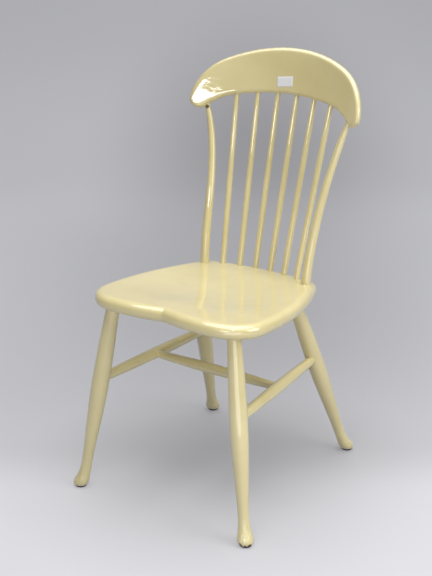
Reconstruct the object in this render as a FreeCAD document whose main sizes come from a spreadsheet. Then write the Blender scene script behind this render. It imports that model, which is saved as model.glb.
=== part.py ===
import FreeCAD, Part
import Sketcher
import math
import os
from FreeCAD import Placement, Rotation, Vector

# Windsor side chair. The chair faces -Y, +X is to the right seen from the front, +Z is up,
# and the origin is on the floor under the middle of the chair. All lengths are in millimetres
# and all angles in degrees.

SIZES = {
    # Seat: a board on its own tilted plane, measured from its reference point.
    "seat_height": 433,          # floor to the top of the seat at the reference point
    "seat_forward": 18.1,        # reference point ahead of the origin
    "seat_tilt": 3.65,           # front edge higher than the back edge
    "seat_thickness": 31,
    "seat_width": 404,
    "seat_front": 226.5,         # reference point to the foremost point of each lobe
    "seat_back": 176,            # reference point to the back edge
    "widest_forward": 118,       # widest line ahead of the reference point
    "side_radius": 640,
    "front_corner": 80,
    "lobe_spread": 105,          # foremost point of each lobe off the centre line
    "lobe_radius": 400,
    "notch_radius": 26,
    "back_radius": 480,
    "back_corner": 32,
    "seat_edge_round": 13,
    # Hollow of the seat.
    "dish_depth": 8,
    "dish_width": 340,
    "dish_length": 300,
    "dish_forward": 28,          # middle of the hollow ahead of the reference point
    "pommel_rise": 5,
    "pommel_width": 44,
    # Legs, set in the seat by seat coordinates and on the floor by chair coordinates.
    "front_leg_spread": 148,
    "front_leg_forward": 179,
    "rear_leg_spread": 123.5,
    "rear_leg_back": 89,
    "front_foot_spread": 208.5,
    "front_foot_forward": 248.6,
    "rear_foot_spread": 184.5,
    "rear_foot_back": 215.9,
    "leg_top": 28,
    "leg_belly": 36.8,
    "leg_ankle": 23.3,
    "leg_tenon": 20,
    "belly_drop": 160,           # belly below the underside of the seat, along the leg
    "ankle_rise": 62,            # ankle above the floor, along the leg
    # Club feet, from the shin down to the sole, each ring level and set outside the leg's axis.
    "shin_width": 26.5,
    "shin_rise": 30,             # height above the floor
    "shin_offset": 1.5,
    "instep_width": 32,
    "instep_rise": 18,
    "instep_offset": 4.2,
    "foot_width": 34,
    "foot_rise": 12,
    "foot_offset": 5.2,
    "sole_width": 28,
    "glide_width": 24,
    "glide_thickness": 4.5,
    "glide_chamfer": 1.1,
    "nail_width": 3,
    "nail_length": 14,
    # Stretchers.
    "stretcher_height": 251,
    "side_end": 19,
    "side_middle": 25,
    "medial_end": 16,
    "medial_middle": 23,
    "tenon_setback": 3.5,        # end of a stretcher's tenon from the axis it points at
    # Back posts.
    "post_spread": 129,
    "post_back": 121,
    "post_foot": 20.5,
    "post_neck": 12.5,
    "post_bend_radius": 318,
    "post_bend_angle": 22.6,
    "post_reach": 177,           # where a post meets the crest rail, off the centre line
    # Spindles.
    "spindle_back": 162,
    "spindle_arc": 270,
    "spindle_spacing": 38,
    "spindle_top_spacing": 47,
    "spindle_foot": 13.9,
    "spindle_tip": 11,
    "seat_socket": 19,           # depth of the post and spindle sockets in the seat
    "crest_socket": 18,          # depth of the sockets in the crest rail
    # Crest rail, in its own leaning frame.
    "crest_setback": 234.2,
    "crest_height": 795,
    "crest_lean": 14.5,
    "crest_width": 420,
    "crest_bow": 400,            # radius of the bow, to the middle of the rail
    "crest_thickness": 20,
    "crest_edge_round": 5.5,
    "crest_rise": 100,           # top edge above the rail's reference point
    "crest_top_radius": 312,
    "shoulder_radius": 119,
    "tip_radius": 18,
    "tip_drop": 34.5,            # centre of each tip below the reference point
    "crest_under": 1.6,          # lower edge above the reference point
    "under_radius": 500,
    "flank_radius": 132,
    # Fits.
    "tenon_gap": 0.1,            # play around a tenon
    "glue_gap": 1,               # space beyond the end of a tenon
}

SPINDLES = 6
SCOOP_GRID = 15       # points along each side of the surface that hollows the seat
SCOOP_REACH = 0.75    # half extent of that surface, as a share of the hollow it cuts
BORE_RUN = 40         # run of a cutter outside the piece that it cuts
THROAT = 0.86         # lower end of the ankle's straight stretch, as a share of its height
SHARP = 1e-4          # coordinates below this lie on an axis
LEVEL_DIGITS = 3      # decimals to which two points lie at one height

UP = Vector(0, 0, 1)

doc = FreeCAD.newDocument("windsor_chair")
sheet = doc.addObject("Spreadsheet::Sheet", "sizes")
for row, (alias, number) in enumerate(SIZES.items(), start=1):
    sheet.set(f"A{row}", alias)
    sheet.set(f"B{row}", str(number))
    sheet.setAlias(f"B{row}", alias)
doc.recompute()


class Size:
    """A length that carries its number and the sheet expression that gives it."""

    def __init__(self, number, text):
        self.number = float(number)
        self.text = text

    def __float__(self):
        return self.number

    def __add__(self, other):
        other = as_size(other)
        return Size(self.number + other.number, f"({self.text} + {other.text})")

    def __sub__(self, other):
        other = as_size(other)
        return Size(self.number - other.number, f"({self.text} - {other.text})")

    def __mul__(self, other):
        other = as_size(other)
        return Size(self.number * other.number, f"({self.text} * {other.text})")

    def __truediv__(self, other):
        other = as_size(other)
        return Size(self.number / other.number, f"({self.text} / {other.text})")

    def __neg__(self):
        return Size(-self.number, f"(0 - {self.text})")


def as_size(value):
    return value if isinstance(value, Size) else Size(value, f"{float(value):.6f}")


def size(alias):
    """The sheet cell with this alias."""
    return Size(sheet.get(alias), f"sizes.{alias}")


def num(alias):
    return float(sheet.get(alias))


def sine(alias):
    return math.sin(math.radians(num(alias)))


def cosine(alias):
    return math.cos(math.radians(num(alias)))


def sagitta(radius, reach):
    """How far a circle of this radius falls away at this reach from its top."""
    return radius - math.sqrt(radius ** 2 - reach ** 2)


# Frames of the tilted seat and the leaning crest rail

SEAT_FRAME = Placement(
    Vector(0, -num("seat_forward"), num("seat_height")),
    Rotation(Vector(1, 0, 0), -num("seat_tilt")),
)
CREST_FRAME = Placement(
    Vector(0, num("crest_setback"), num("crest_height")),
    Rotation(Vector(1, 0, 0), -num("crest_lean")),
)


def on_seat(spread, back, height=0.0):
    """A chair point from seat coordinates, with height measured from the seat's top."""
    return SEAT_FRAME.multVec(Vector(spread, back, height))


def lifted(height):
    return Placement(Vector(0, 0, height), Rotation())


def axis_frame(origin, axis, towards):
    """A frame with its Z along axis and its X as close as it can be to towards."""
    return Placement(origin, Rotation(towards, Vector(), axis, "ZXY"))


# Sketch helpers


def new_sketch(body, name, plane, offset=None):
    sketch = body.newObject("Sketcher::SketchObject", name)
    origin_planes = body.Origin.OriginFeatures
    sketch.AttachmentSupport = [(next(p for p in origin_planes if p.Role == plane), "")]
    sketch.MapMode = "FlatFace"
    if offset is not None:
        sketch.AttachmentOffset = offset
    return sketch


def bind(sketch, kind, places, value):
    """Adds a dimension to a sketch and ties it to the sheet."""
    value = as_size(value)
    index = sketch.addConstraint(Sketcher.Constraint(kind, *places, value.number))
    sketch.setExpression(f"Constraints[{index}]", value.text)


def pin(sketch, curve, end, across, along):
    """Fixes one point of a curve by its two coordinates."""
    for kind, axis_curve, value in (("DistanceX", -2, across), ("DistanceY", -1, along)):
        if abs(float(value)) < SHARP:
            sketch.addConstraint(Sketcher.Constraint("PointOnObject", curve, end, axis_curve))
        else:
            bind(sketch, kind, (-1, 1, curve, end), value)


def circle_sketch(body, name, radius, offset):
    """A round section around the axis of its own offset plane."""
    sketch = new_sketch(body, name, "XY_Plane", offset)
    sketch.addGeometry(Part.Circle(Vector(), Vector(0, 0, 1), float(radius)))
    sketch.addConstraint(Sketcher.Constraint("Coincident", 0, 3, -1, 1))
    bind(sketch, "Radius", (0,), radius)
    return sketch


def profile_arc(start, end, radius, hollow):
    """An arc from start up to end that bulges away from the axis, or towards it if hollow."""
    chord = end - start
    away = Vector(chord.y, -chord.x, 0).normalize()
    reach = math.sqrt(radius ** 2 - (chord.Length / 2) ** 2)
    centre = (start + end) * 0.5 + away * (reach if hollow else -reach)
    first, last = (end, start) if hollow else (start, end)
    low = math.atan2(first.y - centre.y, first.x - centre.x)
    high = math.atan2(last.y - centre.y, last.x - centre.x)
    return Part.ArcOfCircle(Part.Circle(centre, Vector(0, 0, 1), radius), low, high)


def turn(body, corners):
    """Turns a profile about the body's Z axis.

    Each corner is (radius, station) or (radius, station, arc radius), where the arc leads to
    the next corner and bulges outward for a positive arc radius and inward for a negative one.
    """
    sketch = new_sketch(body, "profile", "XZ_Plane")
    for index, corner in enumerate(corners):
        following = corners[(index + 1) % len(corners)]
        start = Vector(float(corner[0]), float(corner[1]), 0)
        end = Vector(float(following[0]), float(following[1]), 0)
        near, far = 1, 2
        if len(corner) == 3:
            hollow = float(corner[2]) < 0
            sketch.addGeometry(profile_arc(start, end, abs(float(corner[2])), hollow))
            if hollow:
                near, far = 2, 1
        else:
            sketch.addGeometry(Part.LineSegment(start, end))
        pin(sketch, index, near, corner[0], corner[1])
        pin(sketch, index, far, following[0], following[1])
        if len(corner) == 3:
            bind(sketch, "Radius", (index,), -corner[2] if hollow else corner[2])
    revolution = body.newObject("PartDesign::Revolution", "turning")
    revolution.Profile = sketch
    revolution.ReferenceAxis = (sketch, ["V_Axis"])
    revolution.Angle = 360
    return revolution


def new_body(label, frame):
    body = doc.addObject("PartDesign::Body", label)
    body.Label = label
    body.Placement = frame
    return body


def tangent_loop(sketch, arcs):
    """Draws arcs as one closed loop and makes every joint tangent.

    Each arc is (centre, radius, start point, end point, counter-clockwise).
    """
    for centre, radius, start, end, forward in arcs:
        first = math.atan2(start.y - centre.y, start.x - centre.x)
        last = math.atan2(end.y - centre.y, end.x - centre.x)
        if not forward:
            first, last = last, first
        circle = Part.Circle(centre, Vector(0, 0, 1), radius)
        sketch.addGeometry(Part.ArcOfCircle(circle, first, last))
    count = len(arcs)
    for index, arc in enumerate(arcs):
        following = (index + 1) % count
        leaves = 2 if arc[4] else 1
        enters = 1 if arcs[following][4] else 2
        joint = Sketcher.Constraint("Tangent", index, leaves, following, enters)
        sketch.addConstraint(joint)


def between_circles(first, first_reach, second, second_reach, side):
    """The point at two given distances from two centres, on one side of their line."""
    line = second - first
    length = line.Length
    along = line * (1 / length)
    across = Vector(along.y, -along.x, 0) * side
    step = (first_reach ** 2 - second_reach ** 2 + length ** 2) / (2 * length)
    return first + along * step + across * math.sqrt(first_reach ** 2 - step ** 2)


def towards(centre, radius, point):
    """The point of a circle that lies on the line from its centre through a point."""
    return centre + (point - centre).normalize() * radius


def mirrored(point):
    return Vector(-point.x, point.y, 0)


# Cutting sockets


def socket(name, mouth, direction, width, depth):
    """A round cutter that starts outside the mouth and ends at depth beyond it."""
    cutter = doc.addObject("Part::Cylinder", name)
    cutter.setExpression("Radius", (width / 2 + size("tenon_gap")).text)
    cutter.setExpression("Height", (depth + size("glue_gap") + BORE_RUN).text)
    heading = Vector(direction).normalize()
    cutter.Placement = Placement(mouth - heading * BORE_RUN, Rotation(Vector(0, 0, 1), heading))
    return cutter


def cut(label, base, cutters):
    """The base without its cutters, under the label of the finished piece."""
    tool = cutters[0]
    if len(cutters) > 1:
        tool = doc.addObject("Part::MultiFuse", f"{label}_cutters")
        tool.Shapes = cutters
    finished = doc.addObject("Part::Cut", label)
    finished.Label = label
    finished.Base = base
    finished.Tool = tool
    return finished


# Where the pieces meet

SIDES = {"left": -1, "right": 1}
UNDERSIDE = -num("seat_thickness")


def leg_axis(end, side):
    """Floor point and seat point of a leg's axis, the seat point on the underside."""
    sign = SIDES[side]
    if end == "front":
        floor = Vector(sign * num("front_foot_spread"), -num("front_foot_forward"), 0)
        top = on_seat(sign * num("front_leg_spread"), -num("front_leg_forward"), UNDERSIDE)
    else:
        floor = Vector(sign * num("rear_foot_spread"), num("rear_foot_back"), 0)
        top = on_seat(sign * num("rear_leg_spread"), num("rear_leg_back"), UNDERSIDE)
    return floor, top


def leg_point(end, side, height):
    """The point of a leg's axis at a height above the floor."""
    floor, top = leg_axis(end, side)
    return floor + (top - floor) * (height / top.z)


def side_stretcher_ends(side):
    height = num("stretcher_height")
    return leg_point("front", side, height), leg_point("rear", side, height)


def side_stretcher_middle(side):
    front, rear = side_stretcher_ends(side)
    return (front + rear) * 0.5


def crest_point(spread, rise):
    """A chair point in the middle of the crest rail's thickness."""
    bowed = -sagitta(num("crest_bow"), spread)
    return CREST_FRAME.multVec(Vector(spread, bowed, rise))


def crest_outline():
    """Centres of the circles that bound the crest rail, in its own plane."""
    half_width = num("crest_width") / 2
    top = Vector(0, num("crest_rise") - num("crest_top_radius"), 0)
    shoulder_x = half_width - num("shoulder_radius")
    shoulder_reach = num("crest_top_radius") - num("shoulder_radius")
    shoulder = Vector(shoulder_x, top.y + math.sqrt(shoulder_reach ** 2 - shoulder_x ** 2), 0)
    tip_reach = num("shoulder_radius") - num("tip_radius")
    tip_fall = shoulder.y + num("tip_drop")
    tip = Vector(shoulder.x + math.sqrt(tip_reach ** 2 - tip_fall ** 2), -num("tip_drop"), 0)
    under = Vector(0, num("crest_under") - num("under_radius"), 0)
    flank = between_circles(
        under, num("under_radius") - num("flank_radius"),
        tip, num("flank_radius") + num("tip_radius"), -1,
    )
    return top, shoulder, tip, flank, under


def crest_underside(spread):
    """Height of the crest rail's lower edge at a distance from the centre line."""
    spread = abs(spread)
    _, _, tip, flank, under = crest_outline()
    meeting = towards(under, num("under_radius"), flank)
    leaving = towards(flank, num("flank_radius"), tip)
    if spread <= meeting.x:
        return num("crest_under") - sagitta(num("under_radius"), spread)
    if spread <= leaving.x:
        return flank.y + math.sqrt(num("flank_radius") ** 2 - (spread - flank.x) ** 2)
    return tip.y - math.sqrt(max(num("tip_radius") ** 2 - (spread - tip.x) ** 2, 0))


def spindle_ends(index):
    """Seat point and crest point of a spindle's axis, counted from the left."""
    place = index - (SPINDLES - 1) / 2
    low_x = place * num("spindle_spacing")
    low = on_seat(low_x, num("spindle_back") - sagitta(num("spindle_arc"), low_x))
    high_x = place * num("spindle_top_spacing")
    return low, crest_point(high_x, crest_underside(high_x))


def post_ends(side):
    spread = SIDES[side] * num("post_spread")
    reach = SIDES[side] * num("post_reach")
    return on_seat(spread, num("post_back")), crest_point(reach, crest_underside(reach))


def post_path(side):
    """Straight length, chord and frame of a post that is bent outward at its top.

    The bend lies in the plane of the crest rail where the post meets it.
    """
    low, high = post_ends(side)
    chord = high - low
    reach = SIDES[side] * num("post_reach")
    slope = Vector(num("crest_bow") - sagitta(num("crest_bow"), reach), -abs(reach), 0)
    outward = CREST_FRAME.Rotation.multVec(Vector(SIDES[side] * slope.x, slope.y, 0))
    radius = num("post_bend_radius")
    offset = radius * (1 - cosine("post_bend_angle"))
    straight = math.sqrt(chord.Length ** 2 - offset ** 2) - radius * sine("post_bend_angle")
    swing = math.atan2(offset, straight + radius * sine("post_bend_angle"))
    along = Vector(chord).normalize()
    across = (outward - along * outward.dot(along)).normalize()
    axis = along * math.cos(swing) - across * math.sin(swing)
    heel = across * math.cos(swing) + along * math.sin(swing)
    return straight, axis_frame(low, axis, heel)


def post_top_axis(side):
    """Direction of a post where it enters the crest rail."""
    _, frame = post_path(side)
    leaning = Vector(sine("post_bend_angle"), 0, cosine("post_bend_angle"))
    return frame.Rotation.multVec(leaning)


# Seat


def seat_outline(sketch):
    half_width = num("seat_width") / 2
    lobe = Vector(num("lobe_spread"), num("lobe_radius") - num("seat_front"), 0)
    side = Vector(half_width - num("side_radius"), -num("widest_forward"), 0)
    back = Vector(0, num("seat_back") - num("back_radius"), 0)
    notch_reach = num("lobe_radius") + num("notch_radius")
    notch = Vector(0, lobe.y - math.sqrt(notch_reach ** 2 - lobe.x ** 2), 0)
    corner = between_circles(
        side, num("side_radius") - num("front_corner"),
        lobe, num("lobe_radius") - num("front_corner"), 1,
    )
    heel = between_circles(
        side, num("side_radius") - num("back_corner"),
        back, num("back_radius") - num("back_corner"), -1,
    )
    notch_end = towards(notch, num("notch_radius"), lobe)
    lobe_end = towards(lobe, num("lobe_radius"), corner)
    side_start = towards(side, num("side_radius"), corner)
    side_end = towards(side, num("side_radius"), heel)
    heel_end = towards(back, num("back_radius"), heel)
    right = [
        (lobe, num("lobe_radius"), notch_end, lobe_end, True),
        (corner, num("front_corner"), lobe_end, side_start, True),
        (side, num("side_radius"), side_start, side_end, True),
        (heel, num("back_corner"), side_end, heel_end, True),
    ]
    left = [
        (mirrored(centre), radius, mirrored(end), mirrored(start), True)
        for centre, radius, start, end, _ in reversed(right)
    ]
    notch_arc = (notch, num("notch_radius"), mirrored(notch_end), notch_end, False)
    back_arc = (back, num("back_radius"), heel_end, mirrored(heel_end), True)
    back_index = 1 + len(right)
    tangent_loop(sketch, [notch_arc, *right, back_arc, *left])
    radii = ("notch_radius", "lobe_radius", "front_corner", "side_radius", "back_corner",
             "back_radius", "back_corner", "side_radius", "front_corner", "lobe_radius")
    for curve, alias in enumerate(radii):
        bind(sketch, "Radius", (curve,), size(alias))
    for lobe_arc, side_arc, sign in ((1, 3, 1), (9, 7, -1)):
        bind(sketch, "DistanceX", (-1, 1, lobe_arc, 3), size("lobe_spread") * sign)
        bind(sketch, "DistanceY", (-1, 1, lobe_arc, 3), size("lobe_radius") - size("seat_front"))
        side_x = (size("seat_width") / 2 - size("side_radius")) * sign
        bind(sketch, "DistanceX", (-1, 1, side_arc, 3), side_x)
        bind(sketch, "DistanceY", (-1, 1, side_arc, 3), -size("widest_forward"))
    sketch.addConstraint(Sketcher.Constraint("PointOnObject", back_index, 3, -2))
    back_centre = size("seat_back") - size("back_radius")
    bind(sketch, "DistanceY", (-1, 1, back_index, 3), back_centre)


def dish_height(spread, back):
    """Height of the hollow's surface over the seat's top plane."""
    across = spread / (num("dish_width") / 2)
    along = (back + num("dish_forward")) / (num("dish_length") / 2)
    bowl = num("dish_depth") * (across ** 2 + along ** 2 - 1)
    forward = max(-along, 0)
    ridge = math.exp(-(spread / num("pommel_width")) ** 2)
    return bowl + num("pommel_rise") * ridge * forward ** 2


def dish_cutter():
    """The material that is scooped out of the seat, above a surface that follows a formula."""
    half_width = SCOOP_REACH * num("dish_width")
    half_length = SCOOP_REACH * num("dish_length")
    rows = []
    for row in range(SCOOP_GRID):
        back = half_length * (2 * row / (SCOOP_GRID - 1) - 1) - num("dish_forward")
        points = []
        for column in range(SCOOP_GRID):
            spread = half_width * (2 * column / (SCOOP_GRID - 1) - 1)
            points.append(Vector(spread, back, dish_height(spread, back)))
        rows.append(points)
    surface = Part.BSplineSurface()
    surface.interpolate(rows)
    cutter = doc.addObject("Part::Feature", "seat_scoop")
    cutter.Shape = surface.toShape().extrude(Vector(0, 0, num("seat_thickness")))
    cutter.Placement = SEAT_FRAME
    return cutter


def make_seat():
    board = new_body("seat_board", SEAT_FRAME)
    sketch = new_sketch(board, "outline", "XY_Plane")
    seat_outline(sketch)
    pad = board.newObject("PartDesign::Pad", "board")
    pad.Profile = sketch
    pad.Reversed = True
    pad.setExpression("Length", "sizes.seat_thickness")
    doc.recompute()
    rims = []
    for index, edge in enumerate(pad.Shape.Edges, start=1):
        heights = {round(vertex.Z, LEVEL_DIGITS) for vertex in edge.Vertexes}
        if len(heights) == 1:
            rims.append(f"Edge{index}")
    rounding = board.newObject("PartDesign::Fillet", "edge_round")
    rounding.Base = (pad, rims)
    rounding.setExpression("Radius", "sizes.seat_edge_round")
    cutters = []
    for end in ("front", "rear"):
        for side in SIDES:
            floor, top = leg_axis(end, side)
            name = f"socket_leg_{end}_{side}"
            cutters.append(socket(name, top, top - floor, size("leg_top"), size("leg_tenon")))
    for side in SIDES:
        low, _ = post_ends(side)
        _, frame = post_path(side)
        down = frame.Rotation.multVec(Vector(0, 0, -1))
        name = f"socket_post_{side}"
        cutters.append(socket(name, low, down, size("post_foot"), size("seat_socket")))
    for index in range(SPINDLES):
        low, high = spindle_ends(index)
        name = f"socket_spindle_{index + 1}"
        cutters.append(socket(name, low, low - high, size("spindle_foot"), size("seat_socket")))
    hollowed = cut("seat_hollowed", board, [dish_cutter()])
    return cut("seat", hollowed, cutters)


# Legs and feet


def swelling_radius(length, rise):
    """Radius of an arc that leaves parallel to the axis and drifts by rise over length."""
    return (length * length + rise * rise) / (rise * 2)


def leg_length(floor, top):
    return (top - floor).Length


def ring(name, width, frame):
    """A circle about the Z axis of its frame."""
    circle = doc.addObject("Part::Circle", name)
    circle.setExpression("Radius", (width / 2).text)
    circle.Placement = frame
    return circle


def club_foot(name, floor, axis, outward):
    """The foot below the ankle, which swells outward from the leg's axis and ends flat."""
    square = axis_frame(floor, axis, outward)
    ankle = num("ankle_rise")
    rings = [
        ring(f"{name}_ankle", size("leg_ankle"), square.multiply(lifted(ankle))),
        ring(f"{name}_throat", size("leg_ankle"), square.multiply(lifted(ankle * THROAT))),
    ]
    levels = (
        ("shin", "shin_rise", "shin_offset"),
        ("instep", "instep_rise", "instep_offset"),
        ("foot", "foot_rise", "foot_offset"),
        ("sole", "glide_thickness", "foot_offset"),
    )
    for part, rise, offset in levels:
        on_axis = floor + axis * (num(rise) / axis.z)
        level = Placement(on_axis + outward * num(offset), axis_frame(floor, UP, outward).Rotation)
        rings.append(ring(f"{name}_{part}", size(f"{part}_width"), level))
    foot = doc.addObject("Part::Loft", f"{name}_foot")
    foot.Sections = rings
    foot.Solid = True
    return foot


def make_leg(end, side):
    name = f"leg_{end}_{side}"
    floor, top = leg_axis(end, side)
    axis = (top - floor).normalize()
    outward = Vector(-axis.x, -axis.y, 0).normalize()
    body = new_body(f"{name}_turned", axis_frame(floor, axis, outward))
    full = as_size(leg_length(floor, top))
    top_radius = size("leg_top") / 2
    neck = full - top_radius
    belly_radius = size("leg_belly") / 2
    ankle_radius = size("leg_ankle") / 2
    belly = full - size("belly_drop")
    ankle = size("ankle_rise")
    middle = (belly + ankle) / 2
    middle_radius = (belly_radius + ankle_radius) / 2
    upper_arc = swelling_radius(neck - belly, belly_radius - top_radius)
    lower_arc = swelling_radius(belly - middle, belly_radius - middle_radius)
    turn(body, [
        (as_size(0), ankle),
        (ankle_radius, ankle, -lower_arc),
        (middle_radius, middle, lower_arc),
        (belly_radius, belly, upper_arc),
        (top_radius, neck),
        (top_radius, full + size("leg_tenon")),
        (as_size(0), full + size("leg_tenon")),
    ])
    shape = doc.addObject("Part::MultiFuse", f"{name}_shape")
    shape.Shapes = [body, club_foot(name, floor, axis, outward)]
    heading = side_stretcher_heading(end, side)
    mortise = leg_point(end, side, num("stretcher_height")) + heading * num("tenon_setback")
    cutters = [
        socket(f"{name}_mortise", mortise + heading * BORE_RUN, -heading, size("side_end"),
               as_size(BORE_RUN)),
        socket(f"{name}_nail_hole", sole_centre(end, side), Vector(0, 0, 1), size("nail_width"),
               size("glide_thickness") + size("nail_length")),
    ]
    return cut(name, shape, cutters)


def side_stretcher_heading(end, side):
    """Direction of the side stretcher as it leaves the leg at one end."""
    front, rear = side_stretcher_ends(side)
    heading = (rear - front).normalize()
    return heading if end == "front" else -heading


def sole_centre(end, side):
    """The point of the floor under the middle of a foot."""
    floor, top = leg_axis(end, side)
    outward = Vector(floor.x - top.x, floor.y - top.y, 0).normalize()
    axis = (top - floor).normalize()
    lift = num("glide_thickness") / axis.z
    return Vector(floor.x, floor.y, 0) + outward * num("foot_offset") + Vector(axis.x, axis.y, 0) * lift


def make_glide(end, side):
    body = new_body(f"glide_{end}_{side}", Placement(sole_centre(end, side), Rotation()))
    radius = size("glide_width") / 2
    chamfer = size("glide_chamfer")
    nail = size("nail_width") / 2
    thickness = size("glide_thickness")
    turn(body, [
        (as_size(0), as_size(0)),
        (radius - chamfer, as_size(0)),
        (radius, chamfer),
        (radius, thickness),
        (nail, thickness),
        (nail, thickness + size("nail_length")),
        (as_size(0), thickness + size("nail_length")),
    ])
    return body


# Stretchers


def make_bar(label, start, finish, end_width, middle_width, neck):
    """A swelled bar between two axis points, straight for a neck at each end."""
    body = new_body(label, axis_frame(start, finish - start, Vector(0, 0, 1)))
    full = as_size((finish - start).Length)
    low = size("tenon_setback")
    high = full - low
    end_radius = end_width / 2
    swell = (middle_width - end_width) / 2
    arc = swelling_radius(full / 2 - neck, swell)
    turn(body, [
        (as_size(0), low),
        (end_radius, low),
        (end_radius, neck, arc),
        (end_radius, full - neck),
        (end_radius, high),
        (as_size(0), high),
    ])
    return body


def make_side_stretcher(side):
    front, rear = side_stretcher_ends(side)
    label = f"side_stretcher_{side}"
    neck = (size("leg_belly") + size("side_end")) / 2
    bar = make_bar(f"{label}_turned", front, rear, size("side_end"), size("side_middle"), neck)
    inward = Vector(-SIDES[side], 0, 0)
    mouth = side_stretcher_middle(side) + inward * (num("tenon_setback") + BORE_RUN)
    cutter = socket(f"{label}_mortise", mouth, -inward, size("medial_end"), as_size(BORE_RUN))
    return cut(label, bar, [cutter])


def make_medial_stretcher():
    left = side_stretcher_middle("left")
    right = side_stretcher_middle("right")
    neck = (size("side_middle") + size("medial_end")) / 2
    return make_bar(
        "medial_stretcher", left, right, size("medial_end"), size("medial_middle"), neck,
    )


# Back


def make_post(side):
    label = f"back_post_{side}"
    straight, frame = post_path(side)
    body = new_body(label, frame.multiply(lifted(-num("seat_socket"))))
    bend_start = as_size(straight) + size("seat_socket")
    neck = size("post_neck") / 2
    turn(body, [
        (as_size(0), as_size(0)),
        (size("post_foot") / 2, as_size(0)),
        (size("post_foot") / 2, size("seat_socket")),
        (neck, bend_start),
        (as_size(0), bend_start),
    ])
    path = new_sketch(body, "path", "XZ_Plane")
    radius = num("post_bend_radius")
    base = float(bend_start)
    centre = Vector(radius, base, 0)
    angle = math.radians(num("post_bend_angle"))
    circle = Part.Circle(centre, Vector(0, 0, 1), radius)
    path.addGeometry(Part.ArcOfCircle(circle, math.pi - angle, math.pi))
    bend_end = centre + Vector(-math.cos(angle), math.sin(angle), 0) * radius
    heading = Vector(math.sin(angle), math.cos(angle), 0)
    path.addGeometry(Part.LineSegment(bend_end, bend_end + heading * num("crest_socket")))
    pin(path, 0, 2, as_size(0), bend_start)
    pin(path, 0, 3, size("post_bend_radius"), bend_start)
    path.addConstraint(Sketcher.Constraint("Tangent", 0, 1, 1, 1))
    bind(path, "Distance", (1,), size("crest_socket"))
    leaning = path.addConstraint(Sketcher.Constraint("Angle", 1, 1, -2, 1, angle))
    path.setExpression(f"Constraints[{leaning}]", "sizes.post_bend_angle * 1 deg")
    section = circle_sketch(body, "neck", neck, lifted(base))
    bend = body.newObject("PartDesign::AdditivePipe", "bend")
    bend.Profile = section
    bend.Spine = (path, [])
    return body


def make_spindle(index):
    low, high = spindle_ends(index)
    axis = (high - low).normalize()
    foot = low - axis * num("seat_socket")
    body = new_body(f"spindle_{index + 1}", axis_frame(foot, axis, Vector(1, 0, 0)))
    surface = size("seat_socket")
    rail = surface + as_size((high - low).Length)
    tip = size("spindle_tip") / 2
    turn(body, [
        (as_size(0), as_size(0)),
        (size("spindle_foot") / 2, as_size(0)),
        (size("spindle_foot") / 2, surface),
        (tip, rail),
        (tip, rail + size("crest_socket")),
        (as_size(0), rail + size("crest_socket")),
    ])
    return body


# Crest rail


def draw_crest_outline(sketch):
    top, shoulder, tip, flank, under = crest_outline()
    shoulder_start = towards(top, num("crest_top_radius"), shoulder)
    tip_start = towards(shoulder, num("shoulder_radius"), tip)
    flank_start = towards(tip, num("tip_radius"), flank)
    under_start = towards(under, num("under_radius"), flank)
    right = [
        (under, num("under_radius"), mirrored(under_start), under_start, False),
        (flank, num("flank_radius"), under_start, flank_start, False),
        (tip, num("tip_radius"), flank_start, tip_start, True),
        (shoulder, num("shoulder_radius"), tip_start, shoulder_start, True),
    ]
    left = [
        (mirrored(centre), radius, mirrored(end), mirrored(start), forward)
        for centre, radius, start, end, forward in reversed(right[1:])
    ]
    top_arc = (top, num("crest_top_radius"), shoulder_start, mirrored(shoulder_start), True)
    top_index = len(right)
    tangent_loop(sketch, [*right, top_arc, *left])
    radii = ("under_radius", "flank_radius", "tip_radius", "shoulder_radius", "crest_top_radius",
             "shoulder_radius", "tip_radius", "flank_radius")
    for curve, alias in enumerate(radii):
        bind(sketch, "Radius", (curve,), size(alias))
    sketch.addConstraint(Sketcher.Constraint("PointOnObject", 0, 3, -2))
    sketch.addConstraint(Sketcher.Constraint("PointOnObject", top_index, 3, -2))
    bind(sketch, "DistanceY", (-1, 1, 0, 3), size("crest_under") - size("under_radius"))
    top_centre = size("crest_rise") - size("crest_top_radius")
    bind(sketch, "DistanceY", (-1, 1, top_index, 3), top_centre)
    for shoulder_arc, tip_arc, sign in ((3, 2, 1), (5, 6, -1)):
        reach = (size("crest_width") / 2 - size("shoulder_radius")) * sign
        bind(sketch, "DistanceX", (-1, 1, shoulder_arc, 3), reach)
        bind(sketch, "DistanceY", (-1, 1, tip_arc, 3), -size("tip_drop"))


def draw_bowed_section(sketch):
    """Plan of the bowed slab: two arcs about the axis of the bow, closed by two straight ends."""
    centre = Vector(0, -num("crest_bow"), 0)
    half = size("crest_thickness") / 2
    reach = size("crest_width") / 2 + size("crest_thickness")
    corners = []
    for curve, radius in enumerate((size("crest_bow") + half, size("crest_bow") - half)):
        spread = math.asin(float(reach) / float(radius))
        circle = Part.Circle(centre, Vector(0, 0, 1), float(radius))
        sketch.addGeometry(Part.ArcOfCircle(circle, math.pi / 2 - spread, math.pi / 2 + spread))
        corners.append(centre.y + math.sqrt(float(radius) ** 2 - float(reach) ** 2))
        bind(sketch, "Radius", (curve,), radius)
        sketch.addConstraint(Sketcher.Constraint("PointOnObject", curve, 3, -2))
        bind(sketch, "DistanceY", (-1, 1, curve, 3), -size("crest_bow"))
    for sign, end in ((1, 1), (-1, 2)):
        back, front = (Vector(sign * float(reach), corner, 0) for corner in corners)
        line = sketch.addGeometry(Part.LineSegment(back, front))
        sketch.addConstraint(Sketcher.Constraint("Coincident", line, 1, 0, end))
        sketch.addConstraint(Sketcher.Constraint("Coincident", line, 2, 1, end))
        sketch.addConstraint(Sketcher.Constraint("Vertical", line))
        bind(sketch, "DistanceX", (-1, 1, line, 1), reach * sign)


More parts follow.
